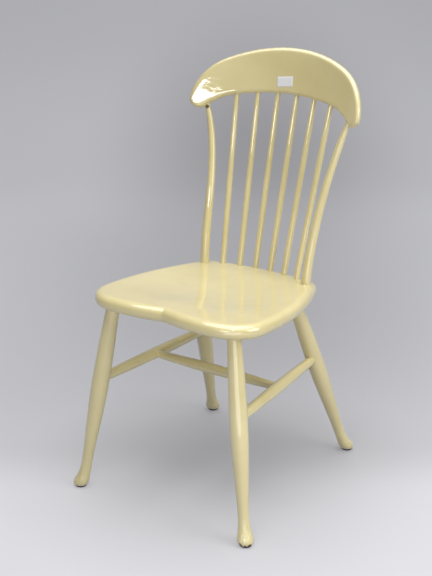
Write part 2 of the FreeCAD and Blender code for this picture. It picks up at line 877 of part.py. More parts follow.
def draw_waste_border(sketch):
    """A rectangle round the crest rail's outline, out to the edges of the slab."""
    across = size("crest_width") / 2 + size("crest_thickness") * 2
    along = size("crest_rise") + size("crest_thickness") * 2
    corners = [(across, along), (-across, along), (-across, -along), (across, -along)]
    for index, corner in enumerate(corners):
        following = corners[(index + 1) % len(corners)]
        start, end = (Vector(float(x), float(y), 0) for x, y in (corner, following))
        line = sketch.addGeometry(Part.LineSegment(start, end))
        pin(sketch, line, 1, *corner)
        pin(sketch, line, 2, *following)


def make_crest_rail():
    """A bowed slab cut to the rail's outline, with rounded edges and blind sockets."""
    board = new_body("crest_board", CREST_FRAME)
    section = new_sketch(board, "bowed_section", "XY_Plane")
    draw_bowed_section(section)
    slab = board.newObject("PartDesign::Pad", "bowed_slab")
    slab.Profile = section
    slab.Midplane = True
    slab.setExpression("Length", "2 * (sizes.crest_rise + sizes.crest_thickness)")
    outline = new_sketch(board, "crest_outline", "XZ_Plane")
    draw_crest_outline(outline)
    draw_waste_border(outline)
    sawing = board.newObject("PartDesign::Pocket", "sawn_outline")
    sawing.Profile = outline
    sawing.Midplane = True
    sawing.setExpression("Length", "2 * sizes.crest_bow")
    doc.recompute()
    broad = sorted(sawing.Shape.Faces, key=lambda face: face.Area)[-2:]
    rims = [
        f"Edge{number}" for number, edge in enumerate(sawing.Shape.Edges, start=1)
        if any(edge.isSame(rim) for face in broad for rim in face.Edges)
    ]
    rounding = board.newObject("PartDesign::Fillet", "crest_edges")
    rounding.Base = (sawing, rims)
    rounding.setExpression("Radius", "sizes.crest_edge_round")
    cutters = []
    for side in SIDES:
        _, high = post_ends(side)
        name = f"crest_socket_post_{side}"
        cutters.append(socket(name, high, post_top_axis(side), size("post_neck"), size("crest_socket")))
    for index in range(SPINDLES):
        low, high = spindle_ends(index)
        name = f"crest_socket_{index + 1}"
        cutters.append(socket(name, high, high - low, size("spindle_tip"), size("crest_socket")))
    return cut("crest_rail", board, cutters)


pieces = [make_seat()]
for end in ("front", "rear"):
    for side in SIDES:
        pieces.append(make_leg(end, side))
        pieces.append(make_glide(end, side))
for side in SIDES:
    pieces.append(make_side_stretcher(side))
    pieces.append(make_post(side))
pieces.append(make_medial_stretcher())
for index in range(SPINDLES):
    pieces.append(make_spindle(index))
pieces.append(make_crest_rail())

doc.recompute()
for item in doc.Objects:
    if "Invalid" in item.State or "Error" in item.State:
        raise RuntimeError(f"{item.Label} failed: {item.State}")
for piece in pieces:
    if piece.Shape.isNull() or not piece.Shape.isValid():
        raise RuntimeError(f"{piece.Label} has no valid shape")

os.makedirs("parts", exist_ok=True)
for piece in pieces:
    piece.Shape.exportStep(f"parts/{piece.Label}.step")
    print(piece.Label, len(piece.Shape.Solids), round(piece.Shape.Volume / 1000, 1), "cm3")
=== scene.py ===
import math

import bpy
from mathutils import Matrix, Vector
from mathutils.noise import noise


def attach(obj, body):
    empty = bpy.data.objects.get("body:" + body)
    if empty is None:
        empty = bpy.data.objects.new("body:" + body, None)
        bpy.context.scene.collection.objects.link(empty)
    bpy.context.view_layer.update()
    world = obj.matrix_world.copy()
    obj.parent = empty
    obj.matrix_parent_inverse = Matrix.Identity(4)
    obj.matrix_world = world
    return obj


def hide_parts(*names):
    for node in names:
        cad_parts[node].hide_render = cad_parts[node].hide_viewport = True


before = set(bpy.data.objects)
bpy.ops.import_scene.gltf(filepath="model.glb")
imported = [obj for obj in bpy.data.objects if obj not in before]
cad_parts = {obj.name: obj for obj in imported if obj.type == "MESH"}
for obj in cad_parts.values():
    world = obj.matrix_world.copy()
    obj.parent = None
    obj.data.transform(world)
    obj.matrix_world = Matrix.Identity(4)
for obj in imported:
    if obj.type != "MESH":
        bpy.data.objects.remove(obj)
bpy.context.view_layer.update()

# A painted windsor side chair. It faces -Y, and its sizes below are in millimetres and degrees.

MM = 0.001

# Seat, on its own tilted plane, as in the construction
SEAT_HEIGHT = 433
SEAT_FORWARD = 18.1
SEAT_TILT = 3.65
SEAT_THICKNESS = 31
SEAT_WIDTH = 404
SEAT_FRONT = 226.5
SEAT_BACK = 176
WIDEST_FORWARD = 118
SIDE_RADIUS = 640
FRONT_CORNER = 80
LOBE_SPREAD = 105
LOBE_RADIUS = 400
NOTCH_RADIUS = 17
BACK_RADIUS = 480
BACK_CORNER = 32
RIM_DEPTH = 19
RIM_SQUARENESS = 2.25
DISH_DEPTH = 8
DISH_WIDTH = 340
DISH_LENGTH = 300
DISH_FORWARD = 28
DISH_SOFTNESS = 1.2
POMMEL_RISE = 5
POMMEL_WIDTH = 44
SEAT_HEART = Vector((0, -30))

# Legs, with heights along the leg from the floor. The foot's rings lie level up to one height
# and stand square to the leg from another.
FRONT_LEG = (148, -179)
REAR_LEG = (123.5, 89)
FRONT_FOOT = (208.5, -248.6)
REAR_FOOT = (184.5, 215.9)
FOOT_OFFSET = 5.2
LEG_RUN_IN = 12
LEVEL_UNTIL = 24
SQUARE_FROM = 60

# Stretchers
STRETCHER_HEIGHT = 251
SIDE_END = 19
SIDE_MIDDLE = 25
MEDIAL_END = 16
MEDIAL_MIDDLE = 23
SWELL_POWER = 0.9
TENON_SETBACK = 3.5

# Posts and spindles, with each width at a share of the length
POST_BASE = (130.4, 123.8)
POST_REACH = 175.5
POST_WIDTHS = (
    (0, 20.6),
    (0.3, 18.9),
    (0.55, 17.0),
    (0.75, 15.8),
    (0.86, 14.8),
    (0.95, 11.6),
    (1, 10.0),
)
POST_LOW_PULL = (4.8, 9.5, 110.4)
POST_HIGH_PULL = (-38.1, -10.3, -112.2)
SPINDLES = 6
SPINDLE_BACK = 162
SPINDLE_ARC = 270
SPINDLE_SPACING = 38
SPINDLE_TOP_SPACING = 47
SPINDLE_WIDTHS = ((0, 13.9), (0.3, 13.5), (0.6, 13.0), (0.85, 12.2), (1, 10.6))
RUN_IN = 9

# Crest rail, in its own leaning frame
CREST_SETBACK = 234.2
CREST_HEIGHT = 795
CREST_LEAN = 14.5
CREST_WIDTH = 420
CREST_BOW = 400
CREST_THICKNESS = 20
CREST_TOP_ROUND = 11
CREST_LOW_ROUND = 6
CREST_RISE = 100
CREST_TOP_RADIUS = 312
SHOULDER_RADIUS = 119
TIP_RADIUS = 18
TIP_DROP = 34.5
TIP_SPLIT = -62
CREST_UNDER = 1.6
UNDER_RADIUS = 500
FLANK_RADIUS = 132

# Waviness of the surfaces: how far the waves lie apart, and how deep they are at most
SEAT_WAVES = (60, 0.25)
LEG_WAVES = (42, 0.14)
BAR_WAVES = (38, 0.12)
SPINDLE_WAVES = (30, 0.2)
CREST_WAVES = (90, 0.2)

SEAT_FRAME = (
    Matrix.Translation((0, -SEAT_FORWARD, SEAT_HEIGHT))
    @ Matrix.Rotation(math.radians(-SEAT_TILT), 4, "X")
)
CREST_FRAME = (
    Matrix.Translation((0, CREST_SETBACK, CREST_HEIGHT))
    @ Matrix.Rotation(math.radians(-CREST_LEAN), 4, "X")
)
SIDES = {"left": -1, "right": 1}


# Plane geometry of the outlines


def between_circles(first, first_reach, second, second_reach, side):
    """The point at two given distances from two centres, on one side of their line."""
    line = second - first
    along = line.normalized()
    across = Vector((along.y, -along.x)) * side
    step = (first_reach ** 2 - second_reach ** 2 + line.length ** 2) / (2 * line.length)
    return first + along * step + across * math.sqrt(first_reach ** 2 - step ** 2)


def meeting(centre, radius, other):
    """The point of a circle on the line from its centre through another centre."""
    return centre + (other - centre).normalized() * radius


def arc_run(centre, radius, start, end, forward, step):
    """Points and outward normals along an arc, without its end point."""
    first = math.atan2(start.y - centre.y, start.x - centre.x)
    last = math.atan2(end.y - centre.y, end.x - centre.x)
    if forward and last < first:
        last += math.tau
    if not forward and last > first:
        last -= math.tau
    count = max(3, round(abs(last - first) * radius / step))
    run = []
    for index in range(count):
        angle = first + (last - first) * index / count
        normal = Vector((math.cos(angle), math.sin(angle)))
        run.append((centre + normal * radius, normal if forward else -normal))
    return run


def flipped(run):
    """A run mirrored across the centre line, in the reverse order."""
    return [(Vector((-p.x, p.y)), Vector((-n.x, n.y))) for p, n in reversed(run)]


def seat_outline(step):
    """Points and outward normals round the seat, counter-clockwise from the notch."""
    half_width = SEAT_WIDTH / 2
    lobe = Vector((LOBE_SPREAD, LOBE_RADIUS - SEAT_FRONT))
    side = Vector((half_width - SIDE_RADIUS, -WIDEST_FORWARD))
    back = Vector((0, SEAT_BACK - BACK_RADIUS))
    notch_reach = LOBE_RADIUS + NOTCH_RADIUS
    notch = Vector((0, lobe.y - math.sqrt(notch_reach ** 2 - lobe.x ** 2)))
    corner = between_circles(side, SIDE_RADIUS - FRONT_CORNER, lobe, LOBE_RADIUS - FRONT_CORNER, 1)
    heel = between_circles(side, SIDE_RADIUS - BACK_CORNER, back, BACK_RADIUS - BACK_CORNER, -1)
    notch_top = notch + Vector((0, NOTCH_RADIUS))
    notch_end = meeting(notch, NOTCH_RADIUS, lobe)
    lobe_end = meeting(lobe, LOBE_RADIUS, corner)
    side_start = meeting(side, SIDE_RADIUS, corner)
    side_end = meeting(side, SIDE_RADIUS, heel)
    heel_end = meeting(back, BACK_RADIUS, heel)
    back_end = Vector((0, SEAT_BACK))
    right = arc_run(notch, NOTCH_RADIUS, notch_top, notch_end, False, step)
    right += arc_run(lobe, LOBE_RADIUS, notch_end, lobe_end, True, step)
    right += arc_run(corner, FRONT_CORNER, lobe_end, side_start, True, step)
    right += arc_run(side, SIDE_RADIUS, side_start, side_end, True, step)
    right += arc_run(heel, BACK_CORNER, side_end, heel_end, True, step)
    right += arc_run(back, BACK_RADIUS, heel_end, back_end, True, step)
    middle = [(back_end, Vector((0, 1)))]
    return right + middle + flipped(right[1:])


def crest_circles():
    """Centres of the circles that bound the crest rail's right half."""
    half_width = CREST_WIDTH / 2
    top = Vector((0, CREST_RISE - CREST_TOP_RADIUS))
    shoulder_x = half_width - SHOULDER_RADIUS
    shoulder_reach = CREST_TOP_RADIUS - SHOULDER_RADIUS
    shoulder = Vector((shoulder_x, top.y + math.sqrt(shoulder_reach ** 2 - shoulder_x ** 2)))
    tip_reach = SHOULDER_RADIUS - TIP_RADIUS
    tip_fall = shoulder.y + TIP_DROP
    tip = Vector((shoulder.x + math.sqrt(tip_reach ** 2 - tip_fall ** 2), -TIP_DROP))
    under = Vector((0, CREST_UNDER - UNDER_RADIUS))
    flank = between_circles(
        under, UNDER_RADIUS - FLANK_RADIUS, tip, FLANK_RADIUS + TIP_RADIUS, -1
    )
    return top, shoulder, tip, flank, under


def crest_underside(spread):
    """Height of the crest rail's lower edge at a distance from the centre line."""
    _, _, tip, flank, under = crest_circles()
    spread = abs(spread)
    if spread <= meeting(under, UNDER_RADIUS, flank).x:
        return under.y + math.sqrt(UNDER_RADIUS ** 2 - spread ** 2)
    if spread <= meeting(flank, FLANK_RADIUS, tip).x:
        return flank.y + math.sqrt(FLANK_RADIUS ** 2 - (spread - flank.x) ** 2)
    return tip.y - math.sqrt(max(TIP_RADIUS ** 2 - (spread - tip.x) ** 2, 0))


# Where the pieces meet, in millimetres


def on_seat(spread, back, height=0.0):
    """A point of the tilted seat, over its plane."""
    return SEAT_FRAME @ Vector((spread, back, height))


def on_crest(spread, rise, behind=0.0):
    """A point of the bowed rail, behind the middle of its thickness."""
    bowed = math.sqrt((CREST_BOW + behind) ** 2 - spread ** 2) - CREST_BOW
    return CREST_FRAME @ Vector((spread, bowed, rise))


def leg_axis(end, side):
    """Floor point and seat point of a leg's axis, the seat point on the underside."""
    sign = SIDES[side]
    foot, leg = (FRONT_FOOT, FRONT_LEG) if end == "front" else (REAR_FOOT, REAR_LEG)
    floor = Vector((sign * foot[0], foot[1], 0))
    return floor, on_seat(sign * leg[0], leg[1], -SEAT_THICKNESS)


def leg_point(end, side, height):
    """The point of a leg's axis at a height over the floor."""
    floor, top = leg_axis(end, side)
    return floor + (top - floor) * (height / top.z)


# Mesh making


def new_piece(name, points, faces):
    """A smooth-shaded mesh from points in millimetres, riding on the chair."""
    mesh = bpy.data.meshes.new(name)
    mesh.from_pydata([point * MM for point in points], [], faces)
    mesh.validate()
    mesh.shade_smooth()
    piece = bpy.data.objects.new(name, mesh)
    bpy.context.scene.collection.objects.link(piece)
    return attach(piece, "root")


def skin(name, rings):
    """Joins closed rings of points, with a fan of triangles over each end."""
    count = len(rings[0])
    points = [point for ring in rings for point in ring]
    faces = []
    for row in range(len(rings) - 1):
        for index in range(count):
            following = (index + 1) % count
            low, high = row * count, (row + 1) * count
            faces.append((low + index, low + following, high + following, high + index))
    for row, outward in ((0, False), (len(rings) - 1, True)):
        centre = len(points)
        points.append(sum(rings[row], Vector()) / count)
        for index in range(count):
            edge = (row * count + index, row * count + (index + 1) % count)
            faces.append((*edge, centre) if outward else (*reversed(edge), centre))
    return new_piece(name, points, faces)


def smooth_between(stations, place):
    """The values at a place among rising stations, each (place, value, ...), without corners."""
    last = len(stations) - 1
    index = max(i for i in range(last) if stations[i][0] <= place or i == 0)
    start, end = stations[index], stations[index + 1]
    span = end[0] - start[0]
    part = (place - start[0]) / span
    values = []
    for column in range(1, len(start)):
        slopes = []
        for at in (index, index + 1):
            before, after = stations[max(at - 1, 0)], stations[min(at + 1, last)]
            slopes.append((after[column] - before[column]) / (after[0] - before[0]) * span)
        low, high = start[column], end[column]
        bend = 3 * (high - low) - 2 * slopes[0] - slopes[1]
        close = slopes[0] + slopes[1] - 2 * (high - low)
        values.append(low + part * (slopes[0] + part * (bend + part * close)))
    return values


def circle(centre, across, beside, radius, count):
    """A ring of points round a centre in the plane of two unit vectors."""
    ring = []
    for index in range(count):
        angle = math.tau * index / count
        ring.append(centre + (across * math.cos(angle) + beside * math.sin(angle)) * radius)
    return ring


def unevenness(point, scale, depth):
    """The slight waviness of wood worked by hand and painted many times, always inward."""
    return (noise(point / scale) - 1) / 2 * depth


def turned(widths):
    """Radius along a bar from its widths at shares of its length."""
    return lambda share: smooth_between(widths, min(max(share, 0), 1))[0] / 2


def round_bar(name, path, radius_at, count=40, waves=BAR_WAVES):
    """A round bar along a list of points, whose radius is a function of the share of its length."""
    lengths = [0.0]
    for start, end in zip(path, path[1:]):
        lengths.append(lengths[-1] + (end - start).length)
    across = (path[1] - path[0]).orthogonal().normalized()
    rings = []
    for index, point in enumerate(path):
        ahead = path[min(index + 1, len(path) - 1)] - path[max(index - 1, 0)]
        ahead.normalize()
        across = (across - ahead * across.dot(ahead)).normalized()
        radius = radius_at(lengths[index] / lengths[-1]) + unevenness(point, *waves)
        rings.append(circle(point, across, ahead.cross(across), radius, count))
    return skin(name, rings)


# Seat


def seat_surface(spread, back):
    """Height of the saddled top over the seat's plane, without the rim."""
    across = spread / (DISH_WIDTH / 2)
    along = (back + DISH_FORWARD) / (DISH_LENGTH / 2)
    bowl = DISH_DEPTH * (across ** 2 + along ** 2 - 1)
    forward = max(-along, 0)
    ridge = math.exp(-(spread / POMMEL_WIDTH) ** 2)
    height = bowl + POMMEL_RISE * ridge * forward ** 2
    return -DISH_SOFTNESS * math.log(1 + math.exp(-height / DISH_SOFTNESS))


def seat_lift(spot):
    return seat_surface(spot.x, spot.y) + unevenness(spot.to_3d(), *SEAT_WAVES)


def make_seat():
    """The seat as rings: over the hollow, round the rim, and over the underside."""
    outline = seat_outline(step=4)
    half = SEAT_THICKNESS / 2
    inner_rings, rim_rings, low_rings = 44, 22, 6
    rings = []

    def inside(point, normal, share):
        edge = point - normal * RIM_DEPTH
        return SEAT_HEART + (edge - SEAT_HEART) * share

    for row in range(1, inner_rings):
        ring = []
        for point, normal in outline:
            spot = inside(point, normal, row / inner_rings)
            ring.append(on_seat(spot.x, spot.y, seat_lift(spot)))
        rings.append(ring)
    for row in range(rim_rings + 1):
        angle = math.pi / 2 - math.pi * row / rim_rings
        reach = abs(math.cos(angle)) ** (2 / RIM_SQUARENESS)
        climb = math.copysign(abs(math.sin(angle)) ** (2 / RIM_SQUARENESS), angle)
        ring = []
        for point, normal in outline:
            spot = point - normal * RIM_DEPTH * (1 - reach)
            lift = seat_lift(spot) * max(climb, 0)
            ring.append(on_seat(spot.x, spot.y, half * (climb - 1) + lift))
        rings.append(ring)
    for row in range(low_rings - 1, 0, -1):
        ring = []
        for point, normal in outline:
            spot = inside(point, normal, row / low_rings)
            ring.append(on_seat(spot.x, spot.y, -SEAT_THICKNESS))
        rings.append(ring)
    rings.reverse()
    seat = skin("painted_seat", rings)
    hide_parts("seat")
    return seat


# Legs and stretchers


def leg_stations(full):
    """Height along the leg, width, and distance of the middle outside the leg's axis."""
    return (
        (4.6, 28, FOOT_OFFSET),
        (6.5, 31.4, FOOT_OFFSET),
        (12, 34, FOOT_OFFSET),
        (18.5, 32.6, 4.2),
        (31, 26.9, 1.6),
        (46, 23.9, 0.3),
        (62, 23.3, 0),
        (98, 25.4, 0),
        (full * 0.40, 32.6, 0),
        (full * 0.52, 36.4, 0),
        (full * 0.62, 36.8, 0),
        (full * 0.75, 35.2, 0),
        (full * 0.88, 31.4, 0),
        (full, 28.2, 0),
        (full + LEG_RUN_IN, 27.4, 0),
    )


def make_leg(end, side):
    """A turned shaft that stands on a foot set outward from its axis."""
    floor, top = leg_axis(end, side)
    axis = (top - floor).normalized()
    outward = Vector((-axis.x, -axis.y, 0)).normalized()
    level_side = outward.cross(Vector((0, 0, 1)))
    full = (top - floor).length
    stations = leg_stations(full)
    fine_step, coarse_step = 1.4, 5
    places = [stations[0][0]]
    while places[-1] < full + LEG_RUN_IN:
        places.append(places[-1] + (fine_step if places[-1] < SQUARE_FROM else coarse_step))
    places[-1] = full + LEG_RUN_IN
    rings = []
    for place in places:
        width, offset = smooth_between(stations, place)
        turn = min(max((place - LEVEL_UNTIL) / (SQUARE_FROM - LEVEL_UNTIL), 0), 1)
        turn = turn * turn * (3 - 2 * turn)
        across = outward.lerp(outward - axis * outward.dot(axis), turn).normalized()
        middle = floor + axis * (place / axis.z * (1 - turn) + place * turn)
        middle += outward * offset
        radius = width / 2 + unevenness(middle, *LEG_WAVES)
        rings.append(circle(middle, across, across.cross(level_side).cross(across), radius, 56))
    leg = skin(f"painted_leg_{end}_{side}", rings)
    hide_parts(f"leg_{end}_{side}")
    return leg


def swelled(end_width, middle_width):
    """Radius along a bar that swells from its ends to its middle."""
    def radius_at(share):
        swell = math.sin(math.pi * share) ** SWELL_POWER
        return (end_width + (middle_width - end_width) * swell) / 2
    return radius_at


def make_bar(name, start, finish, end_width, middle_width):
    run = (finish - start).normalized()
    start = start + run * TENON_SETBACK
    finish = finish - run * TENON_SETBACK
    path = [start.lerp(finish, index / 60) for index in range(61)]
    bar = round_bar(f"painted_{name}", path, swelled(end_width, middle_width))
    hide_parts(name)
    return bar


def make_stretchers():
    bars = []
    middles = []
    for side in SIDES:
        front = leg_point("front", side, STRETCHER_HEIGHT)
        rear = leg_point("rear", side, STRETCHER_HEIGHT)
        bars.append(make_bar(f"side_stretcher_{side}", front, rear, SIDE_END, SIDE_MIDDLE))
        middles.append((front + rear) / 2)
    bars.append(make_bar("medial_stretcher", *middles, MEDIAL_END, MEDIAL_MIDDLE))
    return bars


# Back


def make_post(side):
    """A post that leaves the seat straight and bends outward into the rail's tip."""
    sign = SIDES[side]
    low = on_seat(sign * POST_BASE[0], POST_BASE[1])
    high = on_crest(sign * POST_REACH, crest_underside(POST_REACH))
    low_pull = low + Vector((sign * POST_LOW_PULL[0], *POST_LOW_PULL[1:]))
    high_pull = high + Vector((sign * POST_HIGH_PULL[0], *POST_HIGH_PULL[1:]))
    path = [low - (low_pull - low).normalized() * RUN_IN]
    for index in range(81):
        share = index / 80
        rest = 1 - share
        path.append(
            low * rest ** 3 + low_pull * 3 * rest ** 2 * share
            + high_pull * 3 * rest * share ** 2 + high * share ** 3
        )
    path.append(high + (high - high_pull).normalized() * RUN_IN)
    post = round_bar(f"painted_back_post_{side}", path, turned(POST_WIDTHS))
    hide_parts(f"back_post_{side}")
    return post


def make_spindle(index):
    """A straight spindle, numbered from 0 at the left."""
    place = index - (SPINDLES - 1) / 2
    low_x = place * SPINDLE_SPACING
    sag = SPINDLE_ARC - math.sqrt(SPINDLE_ARC ** 2 - low_x ** 2)
    low = on_seat(low_x, SPINDLE_BACK - sag)
    high_x = place * SPINDLE_TOP_SPACING
    high = on_crest(high_x, crest_underside(high_x))
    run = (high - low).normalized()
    start, finish = low - run * RUN_IN, high + run * RUN_IN
    path = [start.lerp(finish, step / 70) for step in range(71)]
    name = f"painted_spindle_{index + 1}"
    spindle = round_bar(name, path, turned(SPINDLE_WIDTHS), 32, SPINDLE_WAVES)
    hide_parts(f"spindle_{index + 1}")
    return spindle


def crest_chains(step):
    """The upper and the lower edge of the rail, each from the left tip to the right tip."""
    top, shoulder, tip, flank, under = crest_circles()
    split = math.radians(TIP_SPLIT)
    tip_end = tip + Vector((math.cos(split), math.sin(split))) * TIP_RADIUS
    tip_start = meeting(shoulder, SHOULDER_RADIUS, tip)
    shoulder_start = meeting(top, CREST_TOP_RADIUS, shoulder)
    crown = Vector((0, CREST_RISE))
    upper = arc_run(tip, TIP_RADIUS, tip_end, tip_start, True, step)
    upper += arc_run(shoulder, SHOULDER_RADIUS, tip_start, shoulder_start, True, step)
    upper += arc_run(top, CREST_TOP_RADIUS, shoulder_start, crown, True, step)
    upper = [point for point, _ in upper]
    flank_end = meeting(flank, FLANK_RADIUS, tip)
    flank_start = meeting(under, UNDER_RADIUS, flank)
    belly = Vector((0, CREST_UNDER))
    lower = arc_run(tip, TIP_RADIUS, tip_end, flank_end, False, step)
    lower += arc_run(flank, FLANK_RADIUS, flank_end, flank_start, True, step)
    lower += arc_run(under, UNDER_RADIUS, flank_start, belly, True, step)
    lower = [point for point, _ in lower]

    def whole(half, middle):
        other = [Vector((-point.x, point.y)) for point in half]
        return other + [middle] + list(reversed(half))

    return whole(upper, crown), whole(lower, belly)


def evenly(points, count):
    """The same line with its points at equal distances."""
    lengths = [0.0]
    for start, end in zip(points, points[1:]):
        lengths.append(lengths[-1] + (end - start).length)
    spaced = []
    at = 0
    for index in range(count):
        target = lengths[-1] * index / (count - 1)
        while at < len(points) - 2 and lengths[at + 1] < target:
            at += 1
        part = (target - lengths[at]) / (lengths[at + 1] - lengths[at])
        spaced.append(points[at].lerp(points[at + 1], part))
    return spaced


def make_crest_rail():
    """The bowed crescent, as thick as a board and rounded away all along its edge."""
    upper_edge, lower_edge = crest_chains(step=1.5)
    stations = 180
    rim_steps, flat_steps = 9, 12
    half = CREST_THICKNESS / 2

    def thickness_at(spot):
        over = min((spot - other).length for other in upper_edge)
        under = min((spot - other).length for other in lower_edge)
        rounding = CREST_TOP_ROUND * under + CREST_LOW_ROUND * over
        rounding /= max(over + under, 0.01)
        part = min(min(over, under) / rounding, 1)
        return half * math.sqrt(1 - (1 - part) ** 2)

    def column(low, high):
        reach = (high - low).length
        depth = min(CREST_TOP_ROUND, reach / 2)
        steps = [depth * (1 - math.cos(math.pi / 2 * i / rim_steps)) for i in range(rim_steps)]
        inner = reach - 2 * depth
        steps += [depth + inner * i / flat_steps for i in range(flat_steps + 1)]
        steps += [reach - step for step in reversed(steps[:rim_steps])]
        return [low.lerp(high, step / reach) for step in steps]

    def ring(low, high):
        spots = column(low, high)
        halves = [0, *(thickness_at(spot) for spot in spots[1:-1]), 0]
        lifts = [unevenness(spot.to_3d(), *CREST_WAVES) for spot in spots]
        sides = list(zip(spots, halves, lifts))
        front = [on_crest(spot.x, spot.y, lift - thick) for spot, thick, lift in sides]
        back = [on_crest(spot.x, spot.y, lift + thick) for spot, thick, lift in sides[1:-1]]
        return front + back[::-1]

    lower = evenly(lower_edge, stations)
    upper = evenly(upper_edge, stations)
    rings = [ring(low, high) for low, high in zip(lower[1:-1], upper[1:-1])]
    rail = skin("painted_crest_rail", rings)
    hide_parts("crest_rail")
    return rail


# Materials

# Darker and lighter shade of each finish
CREAM = ((0.700, 0.605, 0.310), (0.760, 0.665, 0.355))
BARE_WOOD = ((0.075, 0.045, 0.022), (0.16, 0.10, 0.05))
DARK_SOLE = ((0.018, 0.016, 0.014), (0.055, 0.050, 0.045))
LABEL_PAPER = ((0.74, 0.74, 0.76), (0.84, 0.84, 0.86))

# Chips in the paint, in millimetres. Those of the front right foot have a heading from the
# front and a size, and the one where the left post meets the rail has its place from there.
CHIP_HEIGHT = 6.5
FOOT_CHIP_REACH = 20
FOOT_CHIPS = ((4, 6.5), (60, 6.5), (34, 5.2))
JOINT_CHIP = (3.5, -5, -3)
JOINT_CHIP_SIZE = 6.5
CHIP_RAGGEDNESS = 5

# Heights between which the upright brush marks of the feet fade out
FOOT_BRUSHED = (22, 60)

# Way along the backdrop from under the chair, in metres, and the paper's tone there
PAPER_STOPS = (
    (-0.45, 0.66),
    (-0.12, 0.67),
    (0.10, 0.57),
    (0.70, 0.54),
    (1.50, 0.545),
    (2.20, 0.565),
    (3.00, 0.555),
    (4.30, 0.51),
)
# Painted shadows on the backdrop: soft darker ovals where the chair's shade falls on the paper
# behind it and under it. Middle across and along it, reach both ways, and depth
PAPER_PAINTED_SHADOWS = (
    ((0.17, 2.90), (0.85, 1.60), 0.37),
    ((0.04, 1.10), (0.95, 1.90), 0.28),
    ((0.02, 0.08), (0.50, 0.36), 0.20),
)
PAPER_TINT = (1.0, 1.0, 1.05)
# Share of the seen tone that doesn't take shadow, and share of its light that the paper
# throws back on the chair
PAPER_EVENNESS = 0.5
PAPER_BOUNCE = 0.42


def new_material(name):
    material = bpy.data.materials.new(name)
    material.use_nodes = True
    tree = material.node_tree
    tree.nodes.clear()
    shader = tree.nodes.new("ShaderNodeBsdfPrincipled")
    output = tree.nodes.new("ShaderNodeOutputMaterial")
    tree.links.new(shader.outputs["BSDF"], output.inputs["Surface"])
    return material, tree, shader


def noise_at(tree, scale, detail=2.0, stretch=(1, 1, 1)):
    """A noise value over the object's own coordinates, in features per metre."""
    place = tree.nodes.new("ShaderNodeTexCoord")
    mapping = tree.nodes.new("ShaderNodeMapping")
    mapping.inputs["Scale"].default_value = stretch
    texture = tree.nodes.new("ShaderNodeTexNoise")
    texture.inputs["Scale"].default_value = scale
    texture.inputs["Detail"].default_value = detail
    tree.links.new(place.outputs["Object"], mapping.inputs["Vector"])
    tree.links.new(mapping.outputs["Vector"], texture.inputs["Vector"])
    return texture.outputs["Fac"]


def ramp(tree, value, shades, start, end):
    """Two colours or grey levels blended by a value between start and end."""
    node = tree.nodes.new("ShaderNodeValToRGB")
    stops = node.color_ramp.elements
    for stop, place, shade in zip(stops, (start, end), shades):
        stop.position = place
        stop.color = (*shade, 1)
    tree.links.new(value, node.inputs["Fac"])
    return node.outputs["Color"]


def level(value):
    """A grey as a colour."""
    return (value, value, value)


def levels(low, high):
    return level(low), level(high)


def bumped(tree, value, distance, strength, below=None):
    """A relief from a value, with its height in metres, over another relief if there is one."""
    node = tree.nodes.new("ShaderNodeBump")
    node.inputs["Distance"].default_value = distance
    node.inputs["Strength"].default_value = strength
    tree.links.new(value, node.inputs["Height"])
    if below is not None:
        tree.links.new(below, node.inputs["Normal"])
    return node.outputs["Normal"]


def blended(tree, share, first, second):
    """A mix of two colours, each a fixed one or the output of a node."""
    node = tree.nodes.new("ShaderNodeMix")
    node.data_type = "RGBA"
    tree.links.new(share, node.inputs["Factor"])
    for value, socket in ((first, node.inputs[6]), (second, node.inputs[7])):
        if isinstance(value, tuple):
            socket.default_value = (*value, 1)
        else:
            tree.links.new(value, socket)
    return node.outputs[2]


def combined(tree, operation, first, second):
    """Arithmetic on two values, each a number or the output of a node."""
    node = tree.nodes.new("ShaderNodeMath")
    node.operation = operation
    for value, socket in ((first, node.inputs[0]), (second, node.inputs[1])):
        if isinstance(value, (int, float)):
            socket.default_value = value
        else:
            tree.links.new(value, socket)
    return node.outputs["Value"]


def chip_places():
    """Middles and sizes of the spots where the paint has gone, in millimetres."""
    foot = leg_point("front", "right", CHIP_HEIGHT)
    reach = FOOT_CHIP_REACH
    chips = []
    for heading, size in FOOT_CHIPS:
        turn = math.radians(heading)
        chips.append((foot + Vector((math.sin(turn), -math.cos(turn), 0)) * reach, size))
    joint = on_crest(-POST_REACH, crest_underside(POST_REACH))
    chips.append((joint + Vector(JOINT_CHIP), JOINT_CHIP_SIZE))
    return chips


def chipped(tree):
    """One where the paint has flaked off, with ragged edges, and zero elsewhere."""
    place = tree.nodes.new("ShaderNodeTexCoord")
    ragged = combined(tree, "MULTIPLY", noise_at(tree, 420, 3), CHIP_RAGGEDNESS * MM)
    bare = 0
    for middle, size in chip_places():
        apart = tree.nodes.new("ShaderNodeVectorMath")
        apart.operation = "DISTANCE"
        tree.links.new(place.outputs["Object"], apart.inputs[0])
        apart.inputs[1].default_value = middle * MM
        edge = combined(tree, "ADD", apart.outputs["Value"], ragged)
        inside = combined(tree, "LESS_THAN", edge, size * MM)
        bare = combined(tree, "MAXIMUM", inside, bare)
    return bare


def brush_marks(tree):
    """The relief of the paint: slow waves, fine brushing, and upright strokes on the feet."""
    waves = bumped(tree, noise_at(tree, 28, 1), 0.0012, 0.28)
    brushing = bumped(tree, noise_at(tree, 170, 2), 0.00015, 0.42, waves)
    place = tree.nodes.new("ShaderNodeTexCoord")
    parts = tree.nodes.new("ShaderNodeSeparateXYZ")
    tree.links.new(place.outputs["Object"], parts.inputs["Vector"])
    fade = [height * MM for height in FOOT_BRUSHED]
    low = ramp(tree, parts.outputs["Z"], levels(1, 0), *fade)
    strokes = combined(tree, "MULTIPLY", noise_at(tree, 330, 2, (1, 1, 0.1)), low)
    return bumped(tree, strokes, 0.0025, 0.9, brushing)


